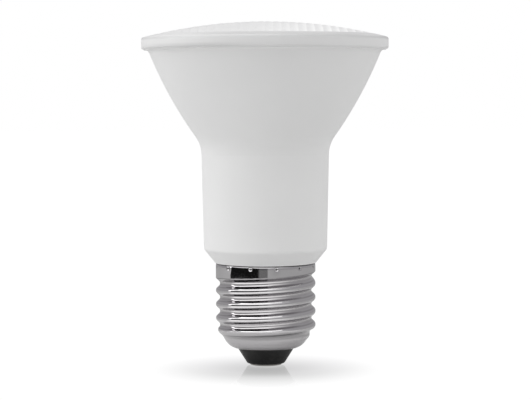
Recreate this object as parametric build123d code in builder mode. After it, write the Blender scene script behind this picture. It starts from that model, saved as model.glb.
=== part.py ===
from build123d import *
import math
import os

# LED reflector bulb with a screw cap, in millimetres, standing on its cap with the lens up.
# The origin is the middle of the contact's face, and +Z runs along the axis to the lens.

# Heights above the contact's face
overall_height = 89.9
cap_height = 26.95  # where the housing sits on the screw shell
mouth_height = 4.45  # where the insulator leaves the screw shell

# Front lens: a domed cover with a plain rim and a skirt that plugs into the housing
rim_dia = 64.5
rim_height = 3.0  # up to the rim's sharp corner
dome_rise = 4.2  # from that corner up to the crown
lens_wall = 2.0
rim_top_round = 1.1
rim_foot_round = 0.6
skirt_inset = 2.9  # from the top of the housing's flank in to the skirt
skirt_wall = 1.6
skirt_depth = 2.5
skirt_clearance = 0.1

# Housing: a lip under the lens, a bowed flank, a drafted neck, a cone and a spigot
lip_inset = 0.65  # from the lens's rim in to the lip
lip_thickness = 0.2
lip_width = 1.15
lip_round = 1.2
flank_radius = 108.0
neck_top_dia = 33.5
neck_length = 27.4
neck_round = 8.3
neck_foot_dia = 32.3
neck_foot_round = 1.3
cone_height = 3.55  # from the screw shell up to the neck
cone_overhang = 0.2  # how far the cone's foot stands out over the shell
spigot_length = 12.0
spigot_clearance = 0.05

# Screw shell: a collar, a rolled knuckle thread and a shoulder that closes on the insulator
cap_dia = 26.2
collar_height = 3.85  # down to the groove's middle where the last turn ends
thread_pitch = 25.4 / 7
thread_depth = 1.05
thread_turns = 5
thread_runout = 6.8  # along the tangent, past the last turn
crest_flat = 0.03  # how much of each round crest is pressed flat
crest_lip_angle = 10.5
groove_overcut = 0.5
shell_wall = 0.35  # under the thread's root
shoulder_wall = 0.6
shoulder_inset = 2.9  # from the collar in to the shoulder's foot
shoulder_height = 4.3
turn_in_height = 1.6  # from the mouth up to the shoulder's foot
turn_in_width = 2.6
stake_count = 12
stake_drop = 0.85  # from the collar's edge down to the stake marks
stake_first_angle = 12.6
stake_radius = 0.6
stake_depth = 0.3

# Base insulator: a cone below the shell's mouth and a flange that locks inside it
insulator_clearance = 0.05
insulator_inset = 0.15  # from the mouth in to the cone's top
insulator_foot_dia = 9.8
insulator_foot_round = 0.5
flange_overlap = 1.0
flange_thickness = 1.6

# Centre contact: a disc under the insulator and a stem through it
contact_dia = 8.4
contact_proud = 0.4
contact_round = 0.25
stem_dia = 3.0
stem_length = 4.0
stem_clearance = 0.1

# Radii and heights that more than one piece uses
rim_radius = rim_dia / 2
seat_height = overall_height - dome_rise - rim_height
lip_radius = rim_radius - lip_inset
flank_top_radius = lip_radius - lip_width
skirt_radius = flank_top_radius - skirt_inset
skirt_inner_radius = skirt_radius - skirt_wall
cap_radius = cap_dia / 2
crest_radius = cap_radius + crest_flat
root_radius = crest_radius - thread_depth
bore_radius = root_radius - shell_wall
shoulder_foot_radius = cap_radius - shoulder_inset
mouth_radius = shoulder_foot_radius - turn_in_width
mouth_seat_height = mouth_height + shoulder_wall
flange_radius = mouth_radius + flange_overlap
stem_radius = stem_dia / 2

with BuildPart() as front_lens:
    dome_radius = (rim_radius**2 + dome_rise**2) / (2 * dome_rise)
    dome_centre_height = overall_height - dome_radius
    inner_dome_radius = dome_radius - lens_wall
    inner_edge_height = dome_centre_height + math.sqrt(inner_dome_radius**2 - skirt_inner_radius**2)
    rim_top = (rim_radius, seat_height + rim_height)
    rim_foot = (rim_radius, seat_height)
    inner_edge = (skirt_inner_radius, inner_edge_height)
    crown = (0, overall_height)
    inner_crown = (0, overall_height - lens_wall)
    with BuildSketch(Plane.XZ):
        with BuildLine():
            TangentArc(crown, rim_top, tangent=(1, 0))
            Polyline(
                rim_top,
                rim_foot,
                (skirt_radius, seat_height),
                (skirt_radius, seat_height - skirt_depth),
                (skirt_inner_radius, seat_height - skirt_depth),
                inner_edge,
            )
            TangentArc(inner_crown, inner_edge, tangent=(1, 0))
            Line(inner_crown, crown)
        make_face()
        fillet(vertices().sort_by_distance(rim_top)[0], rim_top_round)
        fillet(vertices().sort_by_distance(rim_foot)[0], rim_foot_round)
    revolve(axis=Axis.Z)

with BuildPart() as housing:
    lip_foot_height = seat_height - lip_thickness
    spigot_radius = bore_radius - spigot_clearance
    spigot_foot_height = cap_height - spigot_length
    flank_top = (flank_top_radius, lip_foot_height)
    neck_foot_height = cap_height + cone_height
    neck_top = (neck_top_dia / 2, neck_foot_height + neck_length)
    neck_foot = (neck_foot_dia / 2, neck_foot_height)
    with BuildSketch(Plane.XZ):
        with BuildLine():
            RadiusArc(flank_top, neck_top, flank_radius)
            Polyline(
                neck_top,
                neck_foot,
                (cap_radius + cone_overhang, cap_height),
                (spigot_radius, cap_height),
                (spigot_radius, spigot_foot_height),
                (0, spigot_foot_height),
                (0, seat_height),
                (lip_radius, seat_height),
                (lip_radius, lip_foot_height),
                flank_top,
            )
        make_face()
        fillet(vertices().sort_by_distance(flank_top)[0], lip_round)
        fillet(vertices().sort_by_distance(neck_top)[0], neck_round)
        fillet(vertices().sort_by_distance(neck_foot)[0], neck_foot_round)
    revolve(axis=Axis.Z)

    # Ring groove that takes the lens's skirt
    with BuildSketch(Plane.XZ):
        with Locations(((skirt_radius + skirt_inner_radius) / 2, seat_height)):
            Rectangle(
                skirt_wall + 2 * skirt_clearance,
                skirt_depth + skirt_clearance,
                align=(Align.CENTER, Align.MAX),
            )
    revolve(axis=Axis.Z, mode=Mode.SUBTRACT)

with BuildPart() as screw_shell:
    shoulder_foot_height = mouth_height + turn_in_height
    shoulder_top = (cap_radius, shoulder_foot_height + shoulder_height)
    shoulder_foot = Vector(shoulder_foot_radius, shoulder_foot_height)
    mouth = (mouth_radius, mouth_height)
    shoulder_angle = math.atan2(shoulder_inset, shoulder_height)
    inner_foot = shoulder_foot + shoulder_wall * Vector(-math.cos(shoulder_angle), math.sin(shoulder_angle))
    inner_top_height = inner_foot.Y + (bore_radius - inner_foot.X) / math.tan(shoulder_angle)
    with BuildSketch(Plane.XZ):
        with BuildLine():
            shoulder = Line(shoulder_top, shoulder_foot)
            TangentArc(shoulder_foot, mouth, tangent=shoulder % 1)
            Polyline(
                mouth,
                (mouth_radius, mouth_seat_height),
                (flange_radius, mouth_seat_height),
                inner_foot,
                (bore_radius, inner_top_height),
                (bore_radius, cap_height),
                (cap_radius, cap_height),
                shoulder_top,
            )
        make_face()
    revolve(axis=Axis.Z)

    # Thread groove: equal arcs for root and crest, swept up a helix and out along its tangent
    thread_height = thread_turns * thread_pitch
    thread_foot = (0, 0, cap_height - collar_height - thread_height)
    arc_radius = (thread_pitch**2 / 4 + thread_depth**2) / (4 * thread_depth)
    crest_lip = math.radians(crest_lip_angle)
    crest_end = Vector(
        crest_radius - arc_radius * (1 - math.cos(crest_lip)),
        thread_pitch / 2 - arc_radius * math.sin(crest_lip),
    )
    flank_middle = Vector(crest_radius - thread_depth / 2, thread_pitch / 4)
    with BuildLine():
        turns = Helix(thread_pitch, thread_height, root_radius, center=thread_foot)
        Line(turns @ 1, turns @ 1 + (turns % 1) * thread_runout)
    with BuildSketch(Plane(thread_foot, x_dir=(1, 0, 0), z_dir=(0, -1, 0))):
        with BuildLine():
            root = ThreePointArc((flank_middle.X, -flank_middle.Y), (root_radius, 0), flank_middle)
            TangentArc(flank_middle, crest_end, tangent=root % 1)
            Polyline(crest_end, crest_end + (groove_overcut, 0), (crest_end.X + groove_overcut, 0))
            mirror(about=Plane.XZ)
        make_face()
    sweep(is_frenet=True, mode=Mode.SUBTRACT)

    # Ring of stake marks that lock the shell to the housing
    with Locations((0, 0, cap_height - stake_drop)):
        with PolarLocations(cap_radius + stake_radius - stake_depth, stake_count, stake_first_angle):
            Sphere(stake_radius, mode=Mode.SUBTRACT)

with BuildPart() as base_insulator:
    stem_hole_radius = stem_radius + stem_clearance
    insulator_neck_radius = mouth_radius - insulator_clearance
    flange_top_height = mouth_seat_height + flange_thickness
    insulator_foot = (insulator_foot_dia / 2, contact_proud)
    with BuildSketch(Plane.XZ):
        with BuildLine():
            Polyline(
                (stem_hole_radius, contact_proud),
                insulator_foot,
                (mouth_radius - insulator_inset, mouth_height),
                (insulator_neck_radius, mouth_height),
                (insulator_neck_radius, mouth_seat_height),
                (flange_radius, mouth_seat_height),
                (flange_radius, flange_top_height),
                (stem_hole_radius, flange_top_height),
                close=True,
            )
        make_face()
        fillet(vertices().sort_by_distance(insulator_foot)[0], insulator_foot_round)
    revolve(axis=Axis.Z)

with BuildPart() as centre_contact:
    Cylinder(contact_dia / 2, contact_proud, align=(Align.CENTER, Align.CENTER, Align.MIN))
    fillet(edges().group_by(Axis.Z)[0], contact_round)
    with Locations((0, 0, contact_proud)):
        Cylinder(stem_radius, stem_length, align=(Align.CENTER, Align.CENTER, Align.MIN))

front_lens.part.label = "front_lens"
housing.part.label = "housing"
screw_shell.part.label = "screw_shell"
base_insulator.part.label = "base_insulator"
centre_contact.part.label = "centre_contact"

os.makedirs("parts", exist_ok=True)
export_step(front_lens.part, "parts/front_lens.step")
export_step(housing.part, "parts/housing.step")
export_step(screw_shell.part, "parts/screw_shell.step")
export_step(base_insulator.part, "parts/base_insulator.step")
export_step(centre_contact.part, "parts/centre_contact.step")
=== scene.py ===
# %% [markdown]
# # A reflector bulb on its screw cap
# The object is a white LED reflector bulb that stands on its cap with the lens up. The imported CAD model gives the
# true sizes, so the lesson starts by loading it. Whatever is made here sits in the same frame, in metres, with +Z
# along the bulb's axis and -Y towards the viewer.

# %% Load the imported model
import math
from functools import partial

import bmesh
import bpy
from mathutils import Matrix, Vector


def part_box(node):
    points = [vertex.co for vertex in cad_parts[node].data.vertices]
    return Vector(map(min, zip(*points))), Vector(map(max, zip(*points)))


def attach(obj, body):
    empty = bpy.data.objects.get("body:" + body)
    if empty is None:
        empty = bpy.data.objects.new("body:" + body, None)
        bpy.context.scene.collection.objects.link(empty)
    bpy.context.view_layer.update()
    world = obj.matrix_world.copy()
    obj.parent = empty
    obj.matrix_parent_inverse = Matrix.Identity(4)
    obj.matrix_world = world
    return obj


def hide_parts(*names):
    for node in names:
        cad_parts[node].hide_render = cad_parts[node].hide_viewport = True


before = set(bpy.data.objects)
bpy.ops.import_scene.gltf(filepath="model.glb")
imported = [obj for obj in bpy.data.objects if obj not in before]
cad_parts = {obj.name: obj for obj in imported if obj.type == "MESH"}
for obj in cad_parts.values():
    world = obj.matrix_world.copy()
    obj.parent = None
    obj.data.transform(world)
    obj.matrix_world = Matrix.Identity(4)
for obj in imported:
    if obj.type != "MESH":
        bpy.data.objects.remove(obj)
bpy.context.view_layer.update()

print("CAD pieces:", sorted(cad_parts))

# %% [markdown]
# ## Sizes taken from the model
# A piece that stands for a CAD piece has to keep its place. The corners of each CAD piece's box already hold the
# most useful sizes, such as the height of the seat that the lens rests on, so they are read and not typed again.

# %% Read the main radii and heights
MM = 0.001
lens_low, lens_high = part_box("front_lens")
cap_low, cap_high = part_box("screw_shell")
crown_height = lens_high.z
rim_radius = lens_high.x
seat_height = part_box("housing")[1].z
cap_radius = cap_high.x
cap_height = cap_high.z
mouth_height = cap_low.z
print("rim radius", round(rim_radius / MM, 2), "seat", round(seat_height / MM, 2), "cap", round(cap_height / MM, 2))

# %% [markdown]
# ## The camera
# The photograph was taken from about half a metre with a long lens, a little above the middle of the bulb and
# tipped down by three degrees. A long lens keeps the rim's ellipse flat. The tiny roll follows the bulb's lean in
# the picture.

# %% Set up the camera
view_distance = 506 * MM
view_height = 71.65 * MM
view_offset = 0.13 * MM
view_pitch = math.radians(3.21)
view_roll = math.radians(0.2)
sensor_width = 36.0
focal_pixels = 1933
image_width = 531

camera_data = bpy.data.cameras.new("photo_camera")
camera_data.sensor_width = sensor_width
camera_data.lens = focal_pixels / image_width * sensor_width
camera_data.clip_start = 0.01
camera = bpy.data.objects.new("photo_camera", camera_data)
camera.location = (view_offset, -view_distance, view_height)
camera.rotation_euler = (math.radians(90) - view_pitch, view_roll, 0)
bpy.context.scene.collection.objects.link(camera)
bpy.context.scene.camera = camera
print("lens in mm:", round(camera_data.lens, 1))

# %% [markdown]
# ## Small helpers for node trees
# Both the shapes and the finishes below come from node trees. One helper adds a node and fills its inputs with
# numbers or with other nodes' outputs, and a second one writes a single sum, so that a tree reads like a formula. The
# others carry a value from one range to another, mix colours and store a value on a mesh.

# %% Helpers that add nodes
NODE_WIDTH, NODE_HEIGHT, NODES_IN_A_ROW = 190, 230, 14


def place(tree, kind, feeds=(), **settings):
    """Add a node to a tree, set its options and fill its inputs."""
    made = tree.nodes.new(kind)
    row, column = divmod(len(tree.nodes), NODES_IN_A_ROW)
    made.location = (NODE_WIDTH * column, -NODE_HEIGHT * row)
    for name, value in settings.items():
        setattr(made, name, value)
    pairs = feeds.items() if isinstance(feeds, dict) else enumerate(feeds)
    for socket, value in pairs:
        if isinstance(value, bpy.types.NodeSocket):
            tree.links.new(value, made.inputs[socket])
        else:
            made.inputs[socket].default_value = value
    return made


def calc(tree, operation, *terms):
    """One sum of a formula."""
    return place(tree, "ShaderNodeMath", terms, operation=operation).outputs[0]


def graded(tree, value, low, high, to_low, to_high, curve="SMOOTHSTEP"):
    """Carry a value from one range to another, with soft ends."""
    feeds = (value, low, high, to_low, to_high)
    return place(tree, "ShaderNodeMapRange", feeds, interpolation_type=curve).outputs[0]


def blended(tree, factor, first, second):
    """Mix two colours. The Mix node has its colour sockets at 6 and 7, and its colour output at 2."""
    feeds = {0: factor, 6: first, 7: second}
    return place(tree, "ShaderNodeMix", feeds, data_type="RGBA").outputs[2]


def stored(tree, geometry, name, value):
    """Store a value at each point of a mesh, under a name that a finish can read."""
    feeds = {"Geometry": geometry, "Name": name, "Value": value}
    options = {"data_type": "FLOAT", "domain": "POINT"}
    return place(tree, "GeometryNodeStoreNamedAttribute", feeds, **options).outputs[0]


def grey(tone):
    """A colour without a tint."""
    return (tone, tone, tone, 1.0)


print("helpers ready")

# %% [markdown]
# ## Helpers for turned pieces
# The lens and the screw shell are round, so each starts as half a section that is spun about the axis. Real moulded
# and rolled edges are never sharp: a bend replaces a corner with a short curve that leaves both sides smoothly. What
# repeats or follows a rule is left to a tree of Geometry Nodes, whose result is kept as a plain mesh.

# %% Helpers that bend a corner and spin a section
def bend(start, corner, end, steps):
    """Points of a curve from start to end that leaves and arrives along the lines to the corner."""
    points = []
    for step in range(steps + 1):
        t = step / steps
        parts = zip(start, corner, end)
        points.append(tuple((1 - t) ** 2 * a + 2 * t * (1 - t) * b + t**2 * c for a, b, c in parts))
    return points


def spread(low, high, count):
    """Evenly spaced values from low to high, both included."""
    return [low + (high - low) * step / count for step in range(count + 1)]


def turned(name, section, segments, closed=False, sharp_from=35):
    """Spin (radius, height) points once round the Z axis. A closed section joins its last point to its first."""
    form = bmesh.new()
    rings = []
    for radius, height in section:
        if radius == 0:
            rings.append([form.verts.new((0, 0, height))] * segments)
            continue
        angles = (2 * math.pi * step / segments for step in range(segments))
        rings.append([form.verts.new((radius * math.cos(a), radius * math.sin(a), height)) for a in angles])
    pairs = list(zip(rings, rings[1:]))
    if closed:
        pairs.append((rings[-1], rings[0]))
    for lower, upper in pairs:
        for step in range(segments):
            after = (step + 1) % segments
            corners = (lower[step], lower[after], upper[after], upper[step])
            form.faces.new(dict.fromkeys(corners))
    bmesh.ops.recalc_face_normals(form, faces=form.faces)
    mesh = bpy.data.meshes.new(name)
    form.to_mesh(mesh)
    form.free()
    mesh.shade_smooth()
    mesh.set_sharp_from_angle(angle=math.radians(sharp_from))
    piece = bpy.data.objects.new(name, mesh)
    bpy.context.scene.collection.objects.link(piece)
    return piece


def baked(piece, tree, values):
    """Run a Geometry Nodes tree on a piece and keep the result as its plain mesh."""
    step = piece.modifiers.new(tree.name, "NODES")
    step.node_group = tree
    sockets = {item.name: item.identifier for item in tree.interface.items_tree if item.in_out == "INPUT"}
    for name, value in values.items():
        step[sockets[name]] = value
    graph = bpy.context.evaluated_depsgraph_get()
    mesh = bpy.data.meshes.new_from_object(piece.evaluated_get(graph), preserve_all_data_layers=True, depsgraph=graph)
    piece.modifiers.remove(step)
    piece.data = mesh
    print(piece.name, "has", len(mesh.polygons), "faces")
    return piece


def new_tree(name, kind, inputs, outputs):
    """An empty node tree with named inputs and outputs. Returns it with its entry and its exit."""
    tree = bpy.data.node_groups.new(name, kind)
    for label, socket in inputs.items():
        tree.interface.new_socket(label, in_out="INPUT", socket_type=socket)
    for label, socket in outputs.items():
        tree.interface.new_socket(label, in_out="OUTPUT", socket_type=socket)
    return tree, tree.nodes.new("NodeGroupInput").outputs, tree.nodes.new("NodeGroupOutput").inputs


print("turning helpers ready")

# %% [markdown]
# ## Shared surface effects
# Two effects turn up on more than one finish, so each is a shader group. Moulded skin is the faint grain and the
# slow mottling that a plastic part takes from its mould. Handled plating is the mix of fine scuffs and soft smudges
# that bright metal gets in its box. The scuffs are squeezed along the axis, so that they run round the cap.

# %% Moulded skin, shared by the plastics
skin_inputs = {"Grain Scale": "NodeSocketFloat", "Mottle Scale": "NodeSocketFloat"}
skin_outputs = {"Grain": "NodeSocketFloat", "Mottle": "NodeSocketFloat"}
moulded_skin, skin_in, skin_out = new_tree("moulded_skin", "ShaderNodeTree", skin_inputs, skin_outputs)
spot = place(moulded_skin, "ShaderNodeTexCoord").outputs["Object"]
grain = place(moulded_skin, "ShaderNodeTexNoise", {"Vector": spot, "Scale": skin_in["Grain Scale"], "Detail": 3.0})
mottle = place(moulded_skin, "ShaderNodeTexNoise", {"Vector": spot, "Scale": skin_in["Mottle Scale"], "Detail": 2.0})
moulded_skin.links.new(grain.outputs["Fac"], skin_out["Grain"])
moulded_skin.links.new(mottle.outputs["Fac"], skin_out["Mottle"])
print("group", moulded_skin.name)

# %% Handled plating, shared by the metals
plating_inputs = {"Scuff Scale": "NodeSocketFloat", "Smudge Scale": "NodeSocketFloat"}
plating_outputs = {"Scuff": "NodeSocketFloat", "Smudge": "NodeSocketFloat"}
handled_plating, plate_in, plate_out = new_tree(
    "handled_plating", "ShaderNodeTree", plating_inputs, plating_outputs
)
spot = place(handled_plating, "ShaderNodeTexCoord").outputs["Object"]
round_the_axis = (1.0, 1.0, 7.0)
flat = place(handled_plating, "ShaderNodeMapping", {"Vector": spot, "Scale": round_the_axis}).outputs[0]
scuff_feeds = {"Vector": flat, "Scale": plate_in["Scuff Scale"], "Detail": 4.0}
smudge_feeds = {"Vector": spot, "Scale": plate_in["Smudge Scale"], "Detail": 3.0}
scuff = place(handled_plating, "ShaderNodeTexNoise", scuff_feeds)
smudge = place(handled_plating, "ShaderNodeTexNoise", smudge_feeds)
handled_plating.links.new(scuff.outputs["Fac"], plate_out["Scuff"])
handled_plating.links.new(smudge.outputs["Fac"], plate_out["Smudge"])
print("group", handled_plating.name)


# %% A start for each finish
def new_finish(name, constants):
    """A material with its Principled shader. The constants are set on the shader's own sockets."""
    finish = bpy.data.materials.new(name)
    finish.use_nodes = True
    tree = finish.node_tree
    tree.nodes.clear()
    shader = place(tree, "ShaderNodeBsdfPrincipled", constants)
    place(tree, "ShaderNodeOutputMaterial", {"Surface": shader.outputs[0]})
    return finish, tree, shader.inputs


def bumped(tree, height, strength, depth):
    """A normal from a height, with the relief's real depth in metres."""
    feeds = {"Strength": strength, "Distance": depth, "Height": height}
    return place(tree, "ShaderNodeBump", feeds).outputs[0]


def seen_edge_on(tree):
    """How far a face is seen edge-on, squared so that it rises late."""
    weight = place(tree, "ShaderNodeLayerWeight", {"Blend": 0.5})
    return calc(tree, "POWER", weight.outputs["Facing"], 2.0)


def dress(node, finish):
    """Give a CAD piece a finish and leave its mesh alone."""
    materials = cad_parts[node].data.materials
    materials.clear()
    materials.append(finish)
    print(node, "wears", finish.name)


print("finish helpers ready")

# %% [markdown]
# ## White moulded housing
# The housing is one white moulding with a satin skin. Its CAD mesh already has smooth normals and the right form,
# so the CAD piece stays and only gets a finish. The skin's grain is far below a millimetre: it breaks up the shine
# but can hardly be seen. The mottling keeps the white from looking like paint in a computer, and towards its outline
# the colour is painted paler, a painted reflection of the bright room that a satin face mirrors when seen edge-on.

# %% Finish of the housing
housing_white, tree, shader = new_finish("housing_white", {"IOR": 1.49})
skin = place(tree, "ShaderNodeGroup", {"Grain Scale": 2600.0, "Mottle Scale": 70.0}, node_tree=moulded_skin)
tint = blended(tree, skin.outputs["Mottle"], grey(0.755), (0.795, 0.795, 0.792, 1))
# painted reflection: the colour is lighter towards the outline, where the face is seen edge-on
painted_edge_reflection = blended(tree, seen_edge_on(tree), tint, (0.92, 0.92, 0.918, 1))
tree.links.new(painted_edge_reflection, shader["Base Color"])
tree.links.new(graded(tree, skin.outputs["Grain"], 0.3, 0.7, 0.40, 0.52), shader["Roughness"])
tree.links.new(bumped(tree, skin.outputs["Grain"], 0.25, 0.02 * MM), shader["Normal"])
dress("housing", housing_white)

# %% [markdown]
# ## The front lens
# The lens is a domed cover of milky plastic. A plain border runs round it, and inside the border hundreds of small
# round-topped facets spread the light. The cover is turned, with a shallow pocket where the facets go. Cutting the
# facets into a dense dome would need far more faces and would blur their edges, so they are laid into the pocket
# one by one with Geometry Nodes.

# %% Turn the cover with its border, rim and skirt
dome_rise = 4.2 * MM
dome_radius = (rim_radius**2 + dome_rise**2) / (2 * dome_rise)
dome_centre = crown_height - dome_radius
facet_zone = 28.9 * MM
facet_pocket = 0.22 * MM
skirt_radius = 27.55 * MM
skirt_wall = 1.6 * MM
cover_wall = 2.0 * MM
rim_corner_height = crown_height - dome_rise
rim_top_reach = 0.65 * MM
rim_foot_reach = 0.6 * MM
border_edge = 0.06 * MM


def dome_height(radius, drop=0.0):
    """Height of the dome at a radius, or of a dome inside it."""
    return dome_centre + math.sqrt((dome_radius - drop) ** 2 - radius**2)


pocket_floor = [(r, dome_height(r, facet_pocket)) for r in spread(0, facet_zone, 12)]
border_start = facet_zone + border_edge
border_end = rim_radius - rim_top_reach
border = [(facet_zone, dome_height(facet_zone) - border_edge)]
border += [(r, dome_height(r)) for r in spread(border_start, border_end, 5)]
rim_top = bend(border[-1], (rim_radius, rim_corner_height), (rim_radius, rim_corner_height - rim_top_reach), 8)
rim_foot = bend(
    (rim_radius, seat_height + rim_foot_reach),
    (rim_radius, seat_height),
    (rim_radius - rim_foot_reach, seat_height),
    6,
)
inner_edge = skirt_radius - skirt_wall
skirt = [
    (skirt_radius, seat_height),
    (skirt_radius, lens_low.z),
    (inner_edge, lens_low.z),
]
inner_dome = [(r, dome_height(r, cover_wall)) for r in spread(inner_edge, 0, 8)]
lens_section = pocket_floor + border[:-1] + rim_top + rim_foot + skirt + inner_dome
lens_cover = turned("lens_cover", lens_section, 256)
print("lens section has", len(lens_section), "points")

# %% [markdown]
# A facet is a square pillow with a round top, and the facets stand in straight rows with no gap. The tree makes a
# grid of points, lifts them onto the dome, drops those outside the zone and sets a pillow on each, square to the
# dome. A pillow is a closed block whose foot sinks into the cover, so that no open edge is left, and only its top is
# shaded smooth. The border is a hair higher than the pillows, so it cuts the outer ones with a clean circle as the
# mould does, and their hidden corners are drawn in under it. Each pillow also stores how far a point lies from its
# left side, for the finish.

# %% Build the tree of facets
facet_inputs = {
    "Geometry": "NodeSocketGeometry",
    "Pitch": "NodeSocketFloat",
    "Zone Radius": "NodeSocketFloat",
    "Dome Radius": "NodeSocketFloat",
    "Dome Centre": "NodeSocketFloat",
    "Pillow Radius": "NodeSocketFloat",
    "Pillow Depth": "NodeSocketFloat",
    "Rows": "NodeSocketInt",
    "Finish": "NodeSocketMaterial",
}
facet_tree, enter, leave = new_tree(
    "lens_facets", "GeometryNodeTree", facet_inputs, {"Geometry": "NodeSocketGeometry"}
)
do = partial(calc, facet_tree)  # one sum in this tree
span = do("MULTIPLY", do("SUBTRACT", enter["Rows"], 1.0), enter["Pitch"])
grid = place(facet_tree, "GeometryNodeMeshGrid", (span, span, enter["Rows"], enter["Rows"])).outputs["Mesh"]
point = place(facet_tree, "GeometryNodeInputPosition").outputs[0]
level = place(facet_tree, "ShaderNodeVectorMath", (point, (1.0, 1.0, 0.0)), operation="MULTIPLY").outputs["Vector"]
reach = place(facet_tree, "ShaderNodeVectorMath", [level], operation="LENGTH").outputs["Value"]
farthest_seat = 0.72  # in pitches past the zone, so that the outer corners are still filled
outside = do("GREATER_THAN", reach, do("MULTIPLY_ADD", enter["Pitch"], farthest_seat, enter["Zone Radius"]))
kept = place(facet_tree, "GeometryNodeDeleteGeometry", {"Geometry": grid, "Selection": outside}).outputs[0]
rise = do("SQRT", do("SUBTRACT", do("POWER", enter["Dome Radius"], 2.0), do("POWER", reach, 2.0)))
lift = place(facet_tree, "ShaderNodeCombineXYZ", (0.0, 0.0, do("ADD", enter["Dome Centre"], rise))).outputs[0]
seats = place(facet_tree, "GeometryNodeSetPosition", {"Geometry": kept, "Offset": lift}).outputs[0]
print("facet seats laid out")

# %% Shape one pillow
block_size = place(
    facet_tree, "ShaderNodeCombineXYZ", (enter["Pitch"], enter["Pitch"], enter["Pillow Depth"])
).outputs[0]
points_across = 5
block_feeds = (block_size, points_across, points_across, 2)
block = place(facet_tree, "GeometryNodeMeshCube", block_feeds).outputs["Mesh"]
axes = place(facet_tree, "ShaderNodeSeparateXYZ", [point]).outputs
ball = do("SQRT", do("SUBTRACT", do("POWER", enter["Pillow Radius"], 2.0), do("POWER", reach, 2.0)))
sag = do("SUBTRACT", ball, enter["Pillow Radius"])
above_foot = do("MULTIPLY", do("GREATER_THAN", axes["Z"], 0.0), do("ADD", sag, enter["Pillow Depth"]))
pillow_height = do("SUBTRACT", above_foot, enter["Pillow Depth"])
pillow_place = place(facet_tree, "ShaderNodeCombineXYZ", (axes["X"], axes["Y"], pillow_height)).outputs[0]
domed = place(facet_tree, "GeometryNodeSetPosition", {"Geometry": block, "Position": pillow_place}).outputs[0]
normal = place(facet_tree, "GeometryNodeInputNormal").outputs[0]
facing_up = do("GREATER_THAN", place(facet_tree, "ShaderNodeSeparateXYZ", [normal]).outputs["Z"], 0.5)
smooth_feeds = {"Geometry": domed, "Shade Smooth": facing_up}
smooth = place(facet_tree, "GeometryNodeSetShadeSmooth", smooth_feeds).outputs[0]
# the lens finish uses this distance to place a painted glow on each facet's right side
from_left = do("ADD", do("DIVIDE", axes["X"], enter["Pitch"]), 0.5)
pillow = stored(facet_tree, smooth, "facet_side", from_left)
print("one pillow shaped")

# %% Set a pillow on every seat
hub = place(facet_tree, "ShaderNodeCombineXYZ", (0.0, 0.0, enter["Dome Centre"])).outputs[0]
square_to_dome = place(facet_tree, "ShaderNodeVectorMath", (point, hub), operation="SUBTRACT").outputs["Vector"]
turn = place(facet_tree, "FunctionNodeAlignRotationToVector", {"Vector": square_to_dome}, axis="Z").outputs[0]
pillows = place(
    facet_tree, "GeometryNodeInstanceOnPoints", {"Points": seats, "Instance": pillow, "Rotation": turn}
).outputs[0]
real = place(facet_tree, "GeometryNodeRealizeInstances", {"Geometry": pillows}).outputs[0]
farthest_corner = 0.4  # in pitches past the zone, hidden under the border
limit = do("MULTIPLY_ADD", enter["Pitch"], farthest_corner, enter["Zone Radius"])
draw_in = do("MINIMUM", do("DIVIDE", limit, reach), 1.0)
keep_height = place(facet_tree, "ShaderNodeCombineXYZ", (draw_in, draw_in, 1.0)).outputs[0]
drawn = place(facet_tree, "ShaderNodeVectorMath", (point, keep_height), operation="MULTIPLY").outputs["Vector"]
trimmed = place(facet_tree, "GeometryNodeSetPosition", {"Geometry": real, "Position": drawn}).outputs[0]
whole = place(facet_tree, "GeometryNodeJoinGeometry", [enter["Geometry"]])
facet_tree.links.new(trimmed, whole.inputs[0])
dressed = place(
    facet_tree, "GeometryNodeSetMaterial", {"Geometry": whole.outputs[0], "Material": enter["Finish"]}
).outputs[0]
facet_tree.links.new(dressed, leave["Geometry"])
print("tree", facet_tree.name, "has", len(facet_tree.nodes), "nodes")

# %% [markdown]
# The plastic of the lens is milky. The facets send light back from every side and look nearly white. On the right
# a painted glow lies on the facets, each most on its right side. The plain border and the rim carry painted shade: a
# row of tones by height runs from the rim over the rounded edge to the border, greyest on the edge. On the left the
# edge has a painted highlight and the rim's foot a painted shade, and on the far right the edge has a fainter painted
# highlight. Where the rim is seen edge-on it is painted paler, a painted reflection. A mask by radius marks the
# facets.

# %% Finish of the lens
def toned(tree, value, stops):
    """Grey tones along a value from 0 to 1, given as pairs of a place and a tone."""
    bar = place(tree, "ShaderNodeValToRGB", [value])
    elements = bar.color_ramp.elements
    elements.remove(elements[1])
    for position, tone in stops:
        element = elements.new(position) if position else elements[0]
        element.color = grey(tone)
    return bar.outputs["Color"]


lens_milky, tree, shader = new_finish("lens_milky", {"IOR": 1.58})
skin = place(tree, "ShaderNodeGroup", {"Grain Scale": 2400.0, "Mottle Scale": 110.0}, node_tree=moulded_skin)
spot = place(tree, "ShaderNodeTexCoord").outputs["Object"]
level = place(tree, "ShaderNodeVectorMath", (spot, (1.0, 1.0, 0.0)), operation="MULTIPLY").outputs["Vector"]
radius = place(tree, "ShaderNodeVectorMath", [level], operation="LENGTH").outputs["Value"]
zone_blur = 0.05 * MM
in_zone = graded(tree, radius, facet_zone - zone_blur, facet_zone + zone_blur, 1.0, 0.0)
axes = place(tree, "ShaderNodeSeparateXYZ", [spot]).outputs
print("facets end at", round(facet_zone / MM, 1), "mm")
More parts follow.
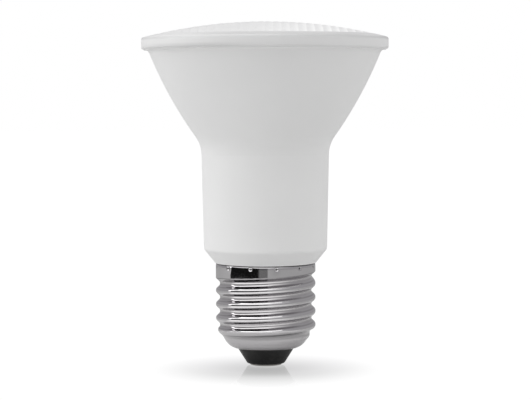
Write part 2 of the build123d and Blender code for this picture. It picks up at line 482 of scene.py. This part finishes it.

# %% Painted shade and highlights of the plain border and rim
# Pairs of a height in millimetres over the rim's corner and the painted shade tone there
tones = ((-1.2, 0.705), (-0.78, 0.695), (-0.5, 0.665), (-0.26, 0.595), (0.0, 0.525), (0.25, 0.56), (0.6, 0.60))
tone_low, tone_high = tones[0][0], tones[-1][0]
stops = [((above_mm - tone_low) / (tone_high - tone_low), tone) for above_mm, tone in tones]
over_corner = calc(tree, "SUBTRACT", axes["Z"], rim_corner_height)
over_seat = calc(tree, "SUBTRACT", axes["Z"], seat_height)
# painted shade: grey tones by height over the border, the rounded edge and the rim
painted_shade_tone = toned(tree, graded(tree, over_corner, tone_low * MM, tone_high * MM, 0.0, 1.0, "LINEAR"), stops)
# painted highlight on the rounded edge, strongest on the left and fainter on the far right
highlight_left = graded(tree, axes["X"], -27 * MM, -6 * MM, 1.0, 0.0)
highlight_right = graded(tree, axes["X"], 20 * MM, 28 * MM, 0.0, 0.6)
on_edge = graded(tree, over_corner, -0.75 * MM, -0.1 * MM, 0.0, 1.0)
painted_edge_highlight = calc(tree, "MULTIPLY", calc(tree, "MAXIMUM", highlight_left, highlight_right), on_edge)
highlight_tone = graded(tree, over_corner, -0.35 * MM, 0.25 * MM, 0.62, 0.72)
highlighted_tone = blended(tree, painted_edge_highlight, painted_shade_tone, highlight_tone)
# painted shade on the rim's foot, on the left
foot_shade_left = graded(tree, axes["X"], -18 * MM, 3 * MM, 1.0, 0.0)
on_foot = graded(tree, over_seat, 0.6 * MM, 1.35 * MM, 1.0, 0.0)
shaded_tone = blended(tree, calc(tree, "MULTIPLY", foot_shade_left, on_foot), highlighted_tone, grey(0.60))
mottle = calc(tree, "MULTIPLY", skin.outputs["Mottle"], 0.1)
mottled_tone = blended(tree, mottle, shaded_tone, grey(0.95))
# painted reflection: the rim is lighter where it is seen edge-on
on_rim = graded(tree, over_corner, -0.9 * MM, -0.3 * MM, 1.0, 0.0)
painted_rim_reflection = calc(tree, "MULTIPLY", seen_edge_on(tree), on_rim)
painted_plain_tint = blended(tree, painted_rim_reflection, mottled_tone, grey(0.97))
print("border and rim have", len(tones), "tones")

# %% Tones and painted glow of the facets
facet_tint = blended(tree, skin.outputs["Mottle"], grey(0.71), grey(0.75))
right_side = place(tree, "ShaderNodeAttribute", attribute_name="facet_side").outputs["Fac"]
# painted glow on the facets towards the right, each most on its right side
to_right = graded(tree, axes["X"], -8 * MM, 18 * MM, 0.0, 1.0)
painted_glow = calc(tree, "MULTIPLY", to_right, graded(tree, right_side, 0.2, 0.95, 0.2, 1.0))
painted_glow_tint = blended(tree, painted_glow, facet_tint, grey(0.94))
tree.links.new(blended(tree, in_zone, painted_plain_tint, painted_glow_tint), shader["Base Color"])
tree.links.new(graded(tree, skin.outputs["Grain"], 0.3, 0.7, 0.28, 0.36), shader["Roughness"])
tree.links.new(bumped(tree, skin.outputs["Grain"], 0.04, 0.02 * MM), shader["Normal"])
print("finish", lens_milky.name)

# %% Lay the facets into the lens
facet_pitch = 2.1 * MM
facet_relief = 0.19 * MM
facet_clearance = 0.02 * MM
facet_depth = 0.26 * MM  # a hair more than the pocket, so that the foot is sunk
facet_corner = facet_pitch / math.sqrt(2)
rows = 2 * math.ceil(facet_zone / facet_pitch) + 4
baked(
    lens_cover,
    facet_tree,
    {
        "Pitch": facet_pitch,
        "Zone Radius": facet_zone,
        "Dome Radius": dome_radius - facet_clearance,
        "Dome Centre": dome_centre,
        "Pillow Radius": (facet_corner**2 + facet_relief**2) / (2 * facet_relief),
        "Pillow Depth": facet_depth,
        "Rows": rows,
        "Finish": lens_milky,
    },
)
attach(lens_cover, "root")
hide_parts("front_lens")

# %% [markdown]
# ## The screw shell
# The cap is thin sheet that is drawn into a cup and then rolled between two wheels, which press the thread into it.
# Rolling leaves no edge anywhere: equal arcs for crest and root run into straight flanks. It is made here in the
# same order. First a plain cup is turned, then Geometry Nodes roll the thread into it: the tree measures how far each
# point is from the nearest groove's middle and moves it in to the arc or the flank that belongs there. A swept cutter
# and a boolean could do it too, but bright metal shows each crooked face that a boolean leaves. An attribute marks
# the outer face, because only that one is rolled.

# %% Turn the plain cup
mouth = (7.6 * MM, mouth_height)
turn_in_corner = (9.23 * MM, mouth_height + 0.21 * MM)
shoulder_foot = (10.2 * MM, mouth_height + 1.425 * MM)
shoulder_end = (11.5 * MM, mouth_height + 3.05 * MM)
shoulder_corner = (cap_radius, mouth_height + 5.05 * MM)
wall_foot = (cap_radius, mouth_height + 6.15 * MM)
bore_radius = 11.73 * MM
collar_turn = 1.1 * MM
collar_tuck = 0.3 * MM
ring_step = 0.115 * MM
sheet_wall = 0.6 * MM  # at the shoulder and the mouth


def rings_between(low, high):
    """Points on a straight run, one ring step apart, without its ends."""
    count = round(math.dist(low, high) / ring_step)
    return [tuple(a + (b - a) * step / count for a, b in zip(low, high)) for step in range(1, count)]


turn_in = bend(mouth, turn_in_corner, shoulder_foot, 26)
shoulder_bend = bend(shoulder_end, shoulder_corner, wall_foot, 30)
wall_top = (cap_radius, cap_height - collar_turn)
collar_edge = bend(
    wall_top, (cap_radius, cap_height - collar_tuck), (cap_radius - collar_tuck, cap_height), 14
)
outside = turn_in + rings_between(shoulder_foot, shoulder_end) + shoulder_bend
outside += rings_between(wall_foot, wall_top) + collar_edge
inside = [
    (bore_radius, cap_height),
    (bore_radius, mouth_height + 5.2 * MM),
    (9.7 * MM, mouth_height + 2.0 * MM),
    (8.6 * MM, mouth_height + sheet_wall),
    (mouth[0], mouth_height + sheet_wall),
]
cup_segments = 320
screw_cup = turned("screw_cap_sheet", outside + inside, cup_segments, closed=True)
outer_face = screw_cup.data.attributes.new("outer_face", "FLOAT", "POINT")
outer_face.data.foreach_set("value", [1.0] * (len(outside) * cup_segments) + [0.0] * (len(inside) * cup_segments))
print("cup has", len(screw_cup.data.polygons), "faces")

# %% [markdown]
# The groove climbs one pitch in each turn. Divide a point's height by the pitch, take away its angle as a part of
# a turn, and whole numbers lie on the middle of the groove: the distance to the nearest whole number says where on
# the arcs the point is. Those whole numbers also count the grooves downwards: 0 is the one that runs out on the
# collar, -1 the last full turn and -5 the lowest one, on the shoulder.

# %% Build the tree that rolls the thread
thread_inputs = {
    "Geometry": "NodeSocketGeometry",
    "Pitch": "NodeSocketFloat",
    "Depth": "NodeSocketFloat",
    "Crest Radius": "NodeSocketFloat",
    "Arc Radius": "NodeSocketFloat",
    "Arc Reach": "NodeSocketFloat",
    "Flank Slope": "NodeSocketFloat",
    "Last Turn Height": "NodeSocketFloat",
    "Fade Foot": "NodeSocketFloat",
    "Fade Top": "NodeSocketFloat",
    "Full Foot": "NodeSocketFloat",
    "Full Top": "NodeSocketFloat",
    "Run Out Start": "NodeSocketFloat",
    "Run Out End": "NodeSocketFloat",
    "Softening": "NodeSocketFloat",
    "Edge Width": "NodeSocketFloat",
    "Bead Line Height": "NodeSocketFloat",
    "Bead Line Width": "NodeSocketFloat",
    "Bead Line Fade": "NodeSocketFloat",
    "Stakes": "NodeSocketInt",
    "Stake Height": "NodeSocketFloat",
    "First Stake": "NodeSocketFloat",
    "Stake Reach": "NodeSocketFloat",
    "Stake Depth": "NodeSocketFloat",
    "Pull Reach": "NodeSocketFloat",
    "Pull Depth": "NodeSocketFloat",
    "Finish": "NodeSocketMaterial",
}
thread_tree, enter, leave = new_tree(
    "rolled_thread", "GeometryNodeTree", thread_inputs, {"Geometry": "NodeSocketGeometry"}
)
do = partial(calc, thread_tree)
place_of_point = place(thread_tree, "GeometryNodeInputPosition").outputs[0]
spot = place(thread_tree, "ShaderNodeSeparateXYZ", [place_of_point]).outputs
radius = do("SQRT", do("ADD", do("POWER", spot["X"], 2.0), do("POWER", spot["Y"], 2.0)))
part_turn = do("FRACT", do("DIVIDE", do("ARCTAN2", spot["Y"], spot["X"]), 2 * math.pi))
above = do("DIVIDE", do("SUBTRACT", spot["Z"], enter["Last Turn Height"]), enter["Pitch"])
level = do("SUBTRACT", above, part_turn)
groove = do("ROUND", level)
from_middle = do("MULTIPLY", do("ABSOLUTE", do("SUBTRACT", level, groove)), enter["Pitch"])
from_crest = do("SUBTRACT", do("MULTIPLY", enter["Pitch"], 0.5), from_middle)
arc_square = do("POWER", enter["Arc Radius"], 2.0)


def section_rise(distance):
    """How far the section has risen at a distance from the middle of its arc."""
    on_arc = do("MINIMUM", distance, enter["Arc Reach"])
    flat_part = do("SQRT", do("SUBTRACT", arc_square, do("POWER", on_arc, 2.0)))
    arc_rise = do("SUBTRACT", enter["Arc Radius"], flat_part)
    return do("MULTIPLY_ADD", do("SUBTRACT", distance, on_arc), enter["Flank Slope"], arc_rise)


root_radius = do("SUBTRACT", enter["Crest Radius"], enter["Depth"])
root_side = do("ADD", root_radius, section_rise(from_middle))
crest_side = do("SUBTRACT", enter["Crest Radius"], section_rise(from_crest))
print("arcs and flanks set")

# %% [markdown]
# The last turn has no crest above it: its flank runs straight on to the collar and ends in a tight bend. Further
# round, the wheels leave the sheet along a straight line, so the groove rises out of the collar there. On the wall
# the groove has its full depth, measured from the crest, and on the shoulder it gets shallower until it is gone.

# %% Join root, crest and collar
run_out_groove, last_groove, lowest_groove = 0, -1, -5
angle = do("MULTIPLY", part_turn, 2 * math.pi)
upper_side = do("GREATER_THAN", level, groove)
above_last_groove = do("MULTIPLY", do("GREATER_THAN", groove, last_groove - 0.5), upper_side)
no_crest = graded(thread_tree, angle, enter["Run Out Start"], enter["Run Out End"], 0.0, 1.0)
at_collar = do("MULTIPLY", above_last_groove, no_crest)
on_root_side = do("MAXIMUM", do("LESS_THAN", from_middle, from_crest), at_collar)
rolled = do("MULTIPLY_ADD", on_root_side, do("SUBTRACT", root_side, crest_side), crest_side)
print("groove joined to the collar")

# %% Let the groove run out and fade
longest_run_out = 1.2  # radians; the groove has left the sheet before that
run_out_angle = do("MINIMUM", angle, longest_run_out)
tangent_rise = do("SUBTRACT", do("DIVIDE", 1.0, do("COSINE", run_out_angle)), 1.0)
past_last_turn = do("GREATER_THAN", groove, run_out_groove - 0.5)
running_out = do("MULTIPLY_ADD", past_last_turn, do("MULTIPLY", tangent_rise, root_radius), rolled)
no_groove = do("ADD", running_out, do("GREATER_THAN", groove, run_out_groove + 0.5))
fall = do("SMOOTH_MIN", do("SUBTRACT", no_groove, enter["Crest Radius"]), 0.0, enter["Softening"])
share = graded(thread_tree, spot["Z"], enter["Fade Foot"], enter["Fade Top"], 0.0, 1.0)
fading = do("MULTIPLY", fall, share)
cut = do("SMOOTH_MIN", do("SUBTRACT", do("ADD", enter["Crest Radius"], fall), radius), 0.0, enter["Softening"])
in_full = graded(thread_tree, spot["Z"], enter["Full Foot"], enter["Full Top"], 0.0, 1.0)
thread_dent = do("MULTIPLY_ADD", in_full, do("SUBTRACT", cut, fading), fading)
print("groove runs out on the collar and fades on the shoulder")

# %% [markdown]
# Two thin lines catch the eye on the real cap and are stored as marks for the finish, which paints them dark as
# painted
# shade: the tight bend under the collar, and the line where the lowest groove ends on the shoulder. Then the stakes
# are pressed in. Each is a small round prick that pulls the sheet round it in by a hair.

# %% Mark the bend and the line on the shoulder
from_edge = do("ABSOLUTE", do("SUBTRACT", no_groove, enter["Crest Radius"]))
# the bend and the shoulder line get painted dark shade in the finish
painted_line = do("MULTIPLY", at_collar, graded(thread_tree, from_edge, 0.0, enter["Edge Width"], 1.0, 0.0))
last_flank = do("MULTIPLY", do("LESS_THAN", groove, lowest_groove + 0.5), upper_side)
before_start = graded(thread_tree, angle, enter["Bead Line Fade"], 2 * math.pi, 1.0, 0.0)
from_line = do("ABSOLUTE", do("SUBTRACT", from_middle, enter["Bead Line Height"]))
line = graded(thread_tree, from_line, 0.0, enter["Bead Line Width"], 1.0, 0.0)
bead_line = do("MULTIPLY", do("MULTIPLY", last_flank, before_start), do("MULTIPLY", line, share))
print("two lines marked")

# %% Press in the stake marks
stake_step = do("DIVIDE", 2 * math.pi, enter["Stakes"])
stake_turn = do("DIVIDE", do("SUBTRACT", angle, enter["First Stake"]), stake_step)
stake_aside = do("MULTIPLY", do("SUBTRACT", stake_turn, do("ROUND", stake_turn)), stake_step)
aside = do("MULTIPLY", stake_aside, enter["Crest Radius"])
up = do("SUBTRACT", spot["Z"], enter["Stake Height"])
from_stake = do("SQRT", do("ADD", do("POWER", aside, 2.0), do("POWER", up, 2.0)))
prick = graded(thread_tree, from_stake, 0.0, enter["Stake Reach"], enter["Stake Depth"], 0.0)
pull = graded(thread_tree, from_stake, 0.0, enter["Pull Reach"], enter["Pull Depth"], 0.0)
dents = do("SUBTRACT", thread_dent, do("ADD", prick, pull))
outer = place(thread_tree, "GeometryNodeInputNamedAttribute", {"Name": "outer_face"}, data_type="FLOAT").outputs[0]
staked = do("MULTIPLY_ADD", outer, dents, radius)
print("stake marks set")

# %% Store the marks and move the points
shrink = do("DIVIDE", staked, radius)
moved = place(
    thread_tree,
    "ShaderNodeCombineXYZ",
    (do("MULTIPLY", spot["X"], shrink), do("MULTIPLY", spot["Y"], shrink), spot["Z"]),
).outputs[0]
marked = enter["Geometry"]
for name, value in (
    ("groove", do("DIVIDE", do("SUBTRACT", radius, staked), enter["Depth"])),
    ("stake", do("MULTIPLY", outer, do("DIVIDE", prick, enter["Stake Depth"]))),
    ("painted_line", do("MULTIPLY", outer, do("MAXIMUM", painted_line, bead_line))),
):
    marked = stored(thread_tree, marked, name, value)
shaped = place(thread_tree, "GeometryNodeSetPosition", {"Geometry": marked, "Position": moved}).outputs[0]
real = place(thread_tree, "GeometryNodeRealizeInstances", {"Geometry": shaped}).outputs[0]
dressed = place(thread_tree, "GeometryNodeSetMaterial", {"Geometry": real, "Material": enter["Finish"]}).outputs[0]
thread_tree.links.new(dressed, leave["Geometry"])
print("tree", thread_tree.name, "has", len(thread_tree.nodes), "nodes")

# %% [markdown]
# The plating is bright nickel with a faint lilac cast. Polish stays on the crests, the grooves keep a little dulness
# from the rolling oil with painted shade in them, and painted dark shade lies on the steep flanks, in the stake
# marks, in the two marked lines and in the seam under the housing. The tree above stored how deep each point lies,
# where the stakes are and where the lines run, as attributes. The finish reads them to place the dulness and the
# painted shade.

# %% Finish of the screw shell
bright_nickel, tree, shader = new_finish("bright_nickel", {"Metallic": 1.0})
wear = place(tree, "ShaderNodeGroup", {"Scuff Scale": 900.0, "Smudge Scale": 160.0}, node_tree=handled_plating)
deep = place(tree, "ShaderNodeAttribute", attribute_name="groove").outputs["Fac"]
# the groove's dulness raises the roughness and paints the deep groove darker, a painted shade
dulness_and_shade = calc(tree, "MULTIPLY", graded(tree, deep, 0.35, 1.0, 0.0, 1.0), wear.outputs["Smudge"])
middle_of_flank = 0.5
from_flank = calc(tree, "ABSOLUTE", calc(tree, "SUBTRACT", deep, middle_of_flank))
pricked = place(tree, "ShaderNodeAttribute", attribute_name="stake").outputs["Fac"]
# painted shade in the stake marks
stake_shade = graded(tree, pricked, 0.25, 0.7, 0.0, 0.95)
spot = place(tree, "ShaderNodeTexCoord").outputs["Object"]
height = place(tree, "ShaderNodeSeparateXYZ", [spot]).outputs["Z"]
# painted shadow in the seam under the housing
seam_shadow = graded(tree, height, cap_height - 0.48 * MM, cap_height - 0.18 * MM, 0.0, 0.95)
# painted shade on the steep flanks
flank_shade = graded(tree, from_flank, 0.05, 0.26, 0.3, 0.0)
painted_line_share = place(tree, "ShaderNodeAttribute", attribute_name="painted_line").outputs["Fac"]
# painted dark lines at the bend under the collar and on the shoulder
on_edge = calc(tree, "MULTIPLY", painted_line_share, 0.85)
# all painted shade together, darkening the base colour
painted_shade = calc(tree, "MAXIMUM", calc(tree, "MAXIMUM", flank_shade, seam_shadow), calc(tree, "MAXIMUM", stake_shade, on_edge))
clean_metal = blended(tree, wear.outputs["Smudge"], (0.70, 0.685, 0.70, 1), (0.76, 0.745, 0.755, 1))
groove_shaded_metal = blended(tree, dulness_and_shade, clean_metal, (0.58, 0.56, 0.57, 1))
tree.links.new(blended(tree, painted_shade, groove_shaded_metal, (0.10, 0.095, 0.10, 1)), shader["Base Color"])
polish = graded(tree, wear.outputs["Smudge"], 0.35, 0.7, 0.02, 0.05)
tree.links.new(calc(tree, "MULTIPLY_ADD", dulness_and_shade, 0.01, polish), shader["Roughness"])
tree.links.new(bumped(tree, wear.outputs["Scuff"], 0.05, 0.01 * MM), shader["Normal"])
print("finish", bright_nickel.name)

# %% Roll the thread
thread_pitch = 25.4 / 7 * MM
thread_depth = 1.09 * MM
flank_angle = math.radians(46.5)
half_flank = thread_pitch / 2 * math.sin(flank_angle) - thread_depth * math.cos(flank_angle)
arc_radius = half_flank / (2 - 2 * math.cos(flank_angle))
baked(
    screw_cup,
    thread_tree,
    {
        "Pitch": thread_pitch,
        "Depth": thread_depth,
        "Crest Radius": cap_radius,
        "Arc Radius": arc_radius,
        "Arc Reach": arc_radius * math.sin(flank_angle),
        "Flank Slope": math.tan(flank_angle),
        "Last Turn Height": cap_height - 3.70 * MM,
        "Fade Foot": mouth_height + 1.6 * MM,
        "Fade Top": mouth_height + 5.6 * MM,
        "Full Foot": mouth_height + 4.9 * MM,
        "Full Top": mouth_height + 5.4 * MM,
        "Run Out Start": 0.2,
        "Run Out End": 0.6,
        "Softening": 0.1 * MM,
        "Edge Width": 0.2 * MM,
        "Bead Line Height": 1.0 * MM,
        "Bead Line Width": 0.34 * MM,
        "Bead Line Fade": 5.2,
        "Stakes": 12,
        "Stake Height": cap_height - 0.85 * MM,
        "First Stake": math.radians(12.6),
        "Stake Reach": 0.58 * MM,
        "Stake Depth": 0.30 * MM,
        "Pull Reach": 1.9 * MM,
        "Pull Depth": 0.03 * MM,
        "Finish": bright_nickel,
    },
)
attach(screw_cup, "root")
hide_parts("screw_shell")

# %% [markdown]
# ## Insulator and contact
# A black moulded cone closes the foot of the cap, and a tinned disc in its middle is the second contact. Both have
# the right form in CAD and stay. The cone is dull-glossy and keeps a little dust. The disc is turned sheet, so its
# fine marks run in rings round the middle.

# %% Finish of the insulator
insulator_black, tree, shader = new_finish("insulator_black", {"IOR": 1.5})
skin = place(tree, "ShaderNodeGroup", {"Grain Scale": 1800.0, "Mottle Scale": 240.0}, node_tree=moulded_skin)
dust = graded(tree, skin.outputs["Mottle"], 0.45, 0.8, 0.0, 1.0)
tree.links.new(blended(tree, dust, grey(0.006), (0.020, 0.019, 0.018, 1)), shader["Base Color"])
tree.links.new(graded(tree, skin.outputs["Grain"], 0.3, 0.7, 0.30, 0.44), shader["Roughness"])
tree.links.new(bumped(tree, skin.outputs["Grain"], 0.3, 0.02 * MM), shader["Normal"])
dress("base_insulator", insulator_black)

# %% Finish of the contact
contact_tin, tree, shader = new_finish("contact_tin", {"Metallic": 1.0})
wear = place(tree, "ShaderNodeGroup", {"Scuff Scale": 700.0, "Smudge Scale": 420.0}, node_tree=handled_plating)
spot = place(tree, "ShaderNodeTexCoord").outputs["Object"]
rings = place(
    tree,
    "ShaderNodeTexWave",
    {"Vector": spot, "Scale": 900.0, "Distortion": 1.5, "Detail": 2.0},
    wave_type="RINGS",
    rings_direction="Z",
).outputs["Fac"]
tree.links.new(
    blended(tree, wear.outputs["Smudge"], (0.50, 0.48, 0.45, 1), (0.66, 0.64, 0.61, 1)), shader["Base Color"]
)
tree.links.new(graded(tree, wear.outputs["Smudge"], 0.3, 0.7, 0.28, 0.45), shader["Roughness"])
relief = calc(tree, "MULTIPLY_ADD", wear.outputs["Scuff"], 0.6, rings)
tree.links.new(bumped(tree, relief, 0.25, 0.02 * MM), shader["Normal"])
dress("centre_contact", contact_tin)

# %% [markdown]
# ## Floor
# The bulb stands on a pale sheet with a faint, sharp shine. A soft round shadow is painted into the sheet: it darkens
# round a place in front of the cap and is white further out. Its shine mirrors the foot of the cap, less and less
# with the distance. Only the camera sees this side of the sheet: what the bulb sees of it has tones of its own, with
# a painted lighter patch under the cap. Seen from below, the sheet lets the view through. It lies a hair under the
# contact and has a painted glow there for the metal's mirror only, so that the contact's face has something to
# mirror.

# %% Lay the sheet
floor_mesh = bpy.data.meshes.new("floor")
half = 3.0
sheet_height = -0.05 * MM
corners = [(x, y, sheet_height) for x, y in ((-half, -half), (half, -half), (half, half), (-half, half))]
floor_mesh.from_pydata(corners, [], [(0, 1, 2, 3)])
floor = bpy.data.objects.new("floor", floor_mesh)
bpy.context.scene.collection.objects.link(floor)
print("floor is", 2 * half, "m wide")

# %% What the camera sees of the sheet
pale_sheet = bpy.data.materials.new("pale_sheet")
pale_sheet.use_nodes = True
tree = pale_sheet.node_tree
tree.nodes.clear()
spot = place(tree, "ShaderNodeTexCoord").outputs["Object"]
distance = place(tree, "ShaderNodeVectorMath", [spot], operation="LENGTH").outputs["Value"]
shadow_centre = (0.0, -9 * MM, 0.0)
shadow_reach = 34 * MM
darkest, palest = 0.57, 1.03
from_shadow = place(tree, "ShaderNodeVectorMath", (spot, shadow_centre), operation="DISTANCE").outputs["Value"]
# painted shadow: the glow that the camera sees is darker round a place in front of the cap
painted_shadow_tone = graded(tree, from_shadow, 0.0, shadow_reach, darkest, palest)
white = place(tree, "ShaderNodeEmission", (grey(1.0), painted_shadow_tone)).outputs[0]
gloss = place(tree, "ShaderNodeBsdfGlossy", {"Color": grey(2.75), "Roughness": 0.0}).outputs[0]
shine = graded(tree, distance, 16 * MM, 24.5 * MM, 0.19, 0.05)
seen_sheet = place(tree, "ShaderNodeMixShader", (shine, white, gloss)).outputs[0]
print("shadow reaches", round(shadow_reach / MM), "mm")

# %% What the bulb sees of it
lit_sheet = place(tree, "ShaderNodeBsdfDiffuse", [grey(0.60)]).outputs[0]
# painted light: the sheet that the bulb sees is lighter under the cap
under_cap = graded(tree, distance, 20 * MM, 80 * MM, 1.0, 0.0)
painted_light_tint = blended(tree, under_cap, grey(0.37), grey(0.58))
open_sheet = place(tree, "ShaderNodeBsdfDiffuse", [painted_light_tint]).outputs[0]
# painted light: a glow under the contact that only the metal's mirror sees
painted_glow = place(tree, "ShaderNodeEmission", (grey(1.0), 0.30)).outputs[0]
under_contact = graded(tree, distance, 4.5 * MM, 6.5 * MM, 1.0, 0.0)
mirrored_sheet = place(tree, "ShaderNodeMixShader", (under_contact, open_sheet, painted_glow)).outputs[0]
path = place(tree, "ShaderNodeLightPath").outputs
unseen_sheet = place(tree, "ShaderNodeMixShader", (path["Is Glossy Ray"], lit_sheet, mirrored_sheet)).outputs[0]
sheet = place(tree, "ShaderNodeMixShader", (path["Is Camera Ray"], unseen_sheet, seen_sheet)).outputs[0]
from_below = place(tree, "ShaderNodeNewGeometry").outputs["Backfacing"]
clear = place(tree, "ShaderNodeBsdfTransparent").outputs[0]
either = place(tree, "ShaderNodeMixShader", (from_below, sheet, clear)).outputs[0]
place(tree, "ShaderNodeOutputMaterial", {"Surface": either})
floor_mesh.materials.append(pale_sheet)
print("floor wears", pale_sheet.name)

# %% [markdown]
# ## Studio light
# White plastic and bright metal need different things. The plastic wants an even, soft light that is a little
# stronger from the left. The metal only shows its form if it has something dark and something bright to mirror, so
# a photographer stands a low black card to the left of the camera, with a white one above it and a white strip on
# the table. They are hidden from the camera, from the plastic's soft light and from the floor's mirror, and they have
# one side only, so just the bulb's own shine sees them. The low card gives the collar its dark patch and each turn of
# the thread its thin black lines.

# %% Set the surrounding light
scene = bpy.context.scene
scene.view_settings.view_transform = "Standard"
studio = bpy.data.worlds.new("studio")
scene.world = studio
studio.use_nodes = True
tree = studio.node_tree
tree.nodes.clear()
path = place(tree, "ShaderNodeLightPath").outputs
room = place(tree, "ShaderNodeBackground", (grey(0.79), 1.0)).outputs[0]
mirrored = place(tree, "ShaderNodeBackground", ((0.36, 0.355, 0.365, 1), 1.0)).outputs[0]
backdrop = place(tree, "ShaderNodeBackground", (grey(1.0), 1.0)).outputs[0]
unseen = place(tree, "ShaderNodeMixShader", (path["Is Glossy Ray"], room, mirrored)).outputs[0]
shown = place(tree, "ShaderNodeMixShader", (path["Is Camera Ray"], unseen, backdrop)).outputs[0]
place(tree, "ShaderNodeOutputWorld", {"Surface": shown})
print("world", studio.name)

# %% Hang the soft lights
def softbox(name, position, target, size, power):
    """A square area light that faces a point."""
    lamp = bpy.data.lights.new(name, "AREA")
    lamp.size = size
    lamp.energy = power
    holder = bpy.data.objects.new(name, lamp)
    holder.location = position
    holder.rotation_euler = (Vector(target) - Vector(position)).to_track_quat("-Z", "Y").to_euler()
    bpy.context.scene.collection.objects.link(holder)
    return holder


softbox("top_light", (-0.12, -0.08, 0.60), target=(0, 0, 0.03), size=0.60, power=1.7)
softbox("left_light", (-0.58, -0.10, 0.26), target=(0, 0, 0.05), size=0.40, power=0.80)
fill = softbox("right_fill", (0.58, -0.04, 0.20), target=(0, 0, 0.05), size=0.40, power=0.32)
fill.visible_glossy = False
print("three soft lights")

# %% A card that only mirrors can see
def card(name, bearings, low_edge, high_edge, steps=24):
    """A bent strip between two bearings, in degrees to the left of the camera.

    Each edge is a distance from the axis and a height.
    """
    points = []
    for step in range(steps + 1):
        bearing = math.radians(bearings[0] + (bearings[1] - bearings[0]) * step / steps)
        for distance, height in (low_edge, high_edge):
            points.append((-distance * math.sin(bearing), -distance * math.cos(bearing), height))
    mesh = bpy.data.meshes.new(name)
    mesh.from_pydata(points, [], [(2 * s, 2 * s + 2, 2 * s + 3, 2 * s + 1) for s in range(steps)])
    strip = bpy.data.objects.new(name, mesh)
    bpy.context.scene.collection.objects.link(strip)
    strip.visible_camera = False
    strip.visible_diffuse = False
    strip.visible_shadow = False
    strip.visible_transmission = False
    finish = bpy.data.materials.new(name)
    finish.use_nodes = True
    finish.node_tree.nodes.clear()
    mesh.materials.append(finish)
    return finish.node_tree


def bearing_on(tree):
    """Bearing of a card's point, in degrees to the left of the camera."""
    spot = place(tree, "ShaderNodeSeparateXYZ", [place(tree, "ShaderNodeTexCoord").outputs["Object"]]).outputs
    angle = calc(tree, "ARCTAN2", calc(tree, "MULTIPLY", spot["X"], -1.0), calc(tree, "MULTIPLY", spot["Y"], -1.0))
    return calc(tree, "DEGREES", angle)


def cover_card(tree, surface, cover):
    """Show a card to the bulb, by a share that may change along it.

    It isn't seen from behind, nor in the floor's mirror, whose rays are singular because it is perfectly sharp.
    """
    behind = place(tree, "ShaderNodeNewGeometry").outputs["Backfacing"]
    in_floor = place(tree, "ShaderNodeLightPath").outputs["Is Singular Ray"]
    shown = calc(tree, "MULTIPLY", cover, calc(tree, "SUBTRACT", 1.0, calc(tree, "MAXIMUM", behind, in_floor)))
    gap = place(tree, "ShaderNodeBsdfTransparent").outputs[0]
    mixed = place(tree, "ShaderNodeMixShader", (shown, gap, surface)).outputs[0]
    place(tree, "ShaderNodeOutputMaterial", {"Surface": mixed})


print("card helpers ready")

# %% Stand the black card, with a half-dark end towards the camera
card_distance = 0.245
black_top = 0.100
half_share = 0.62
tree = card("black_card", (-6, 87), (card_distance, 0.0), (card_distance, black_top))
bearing = bearing_on(tree)
half_dark = graded(tree, bearing, -6.0, -3.0, 0.0, half_share)
cover = calc(tree, "ADD", half_dark, graded(tree, bearing, 12.0, 18.0, 0.0, 1.0 - half_share))
cover_card(tree, place(tree, "ShaderNodeBsdfDiffuse", [grey(0.01)]).outputs[0], cover)
print("black card, half dark from -6 to 15 degrees")

# %% Hang the white card and lay the white strip
right_end, left_end = -80, 96
white_glow = 1.2
white_edges = {
    "white_card": ((card_distance, black_top + 1 * MM), (card_distance, 0.40)),
    "white_strip": ((26 * MM, 0.4 * MM), (85 * MM, 0.4 * MM)),
}
for name, edges in white_edges.items():
    tree = card(name, (right_end, left_end), *edges)
    bearing = bearing_on(tree)
    fade_right = graded(tree, bearing, right_end, 16.0, 0.0, 1.0)
    fade_left = graded(tree, bearing, 74.0, left_end, 1.0, 0.0)
    cover = calc(tree, "MULTIPLY", fade_right, fade_left)
    cover_card(tree, place(tree, "ShaderNodeEmission", (grey(1.0), white_glow)).outputs[0], cover)
    print(name, "glows")
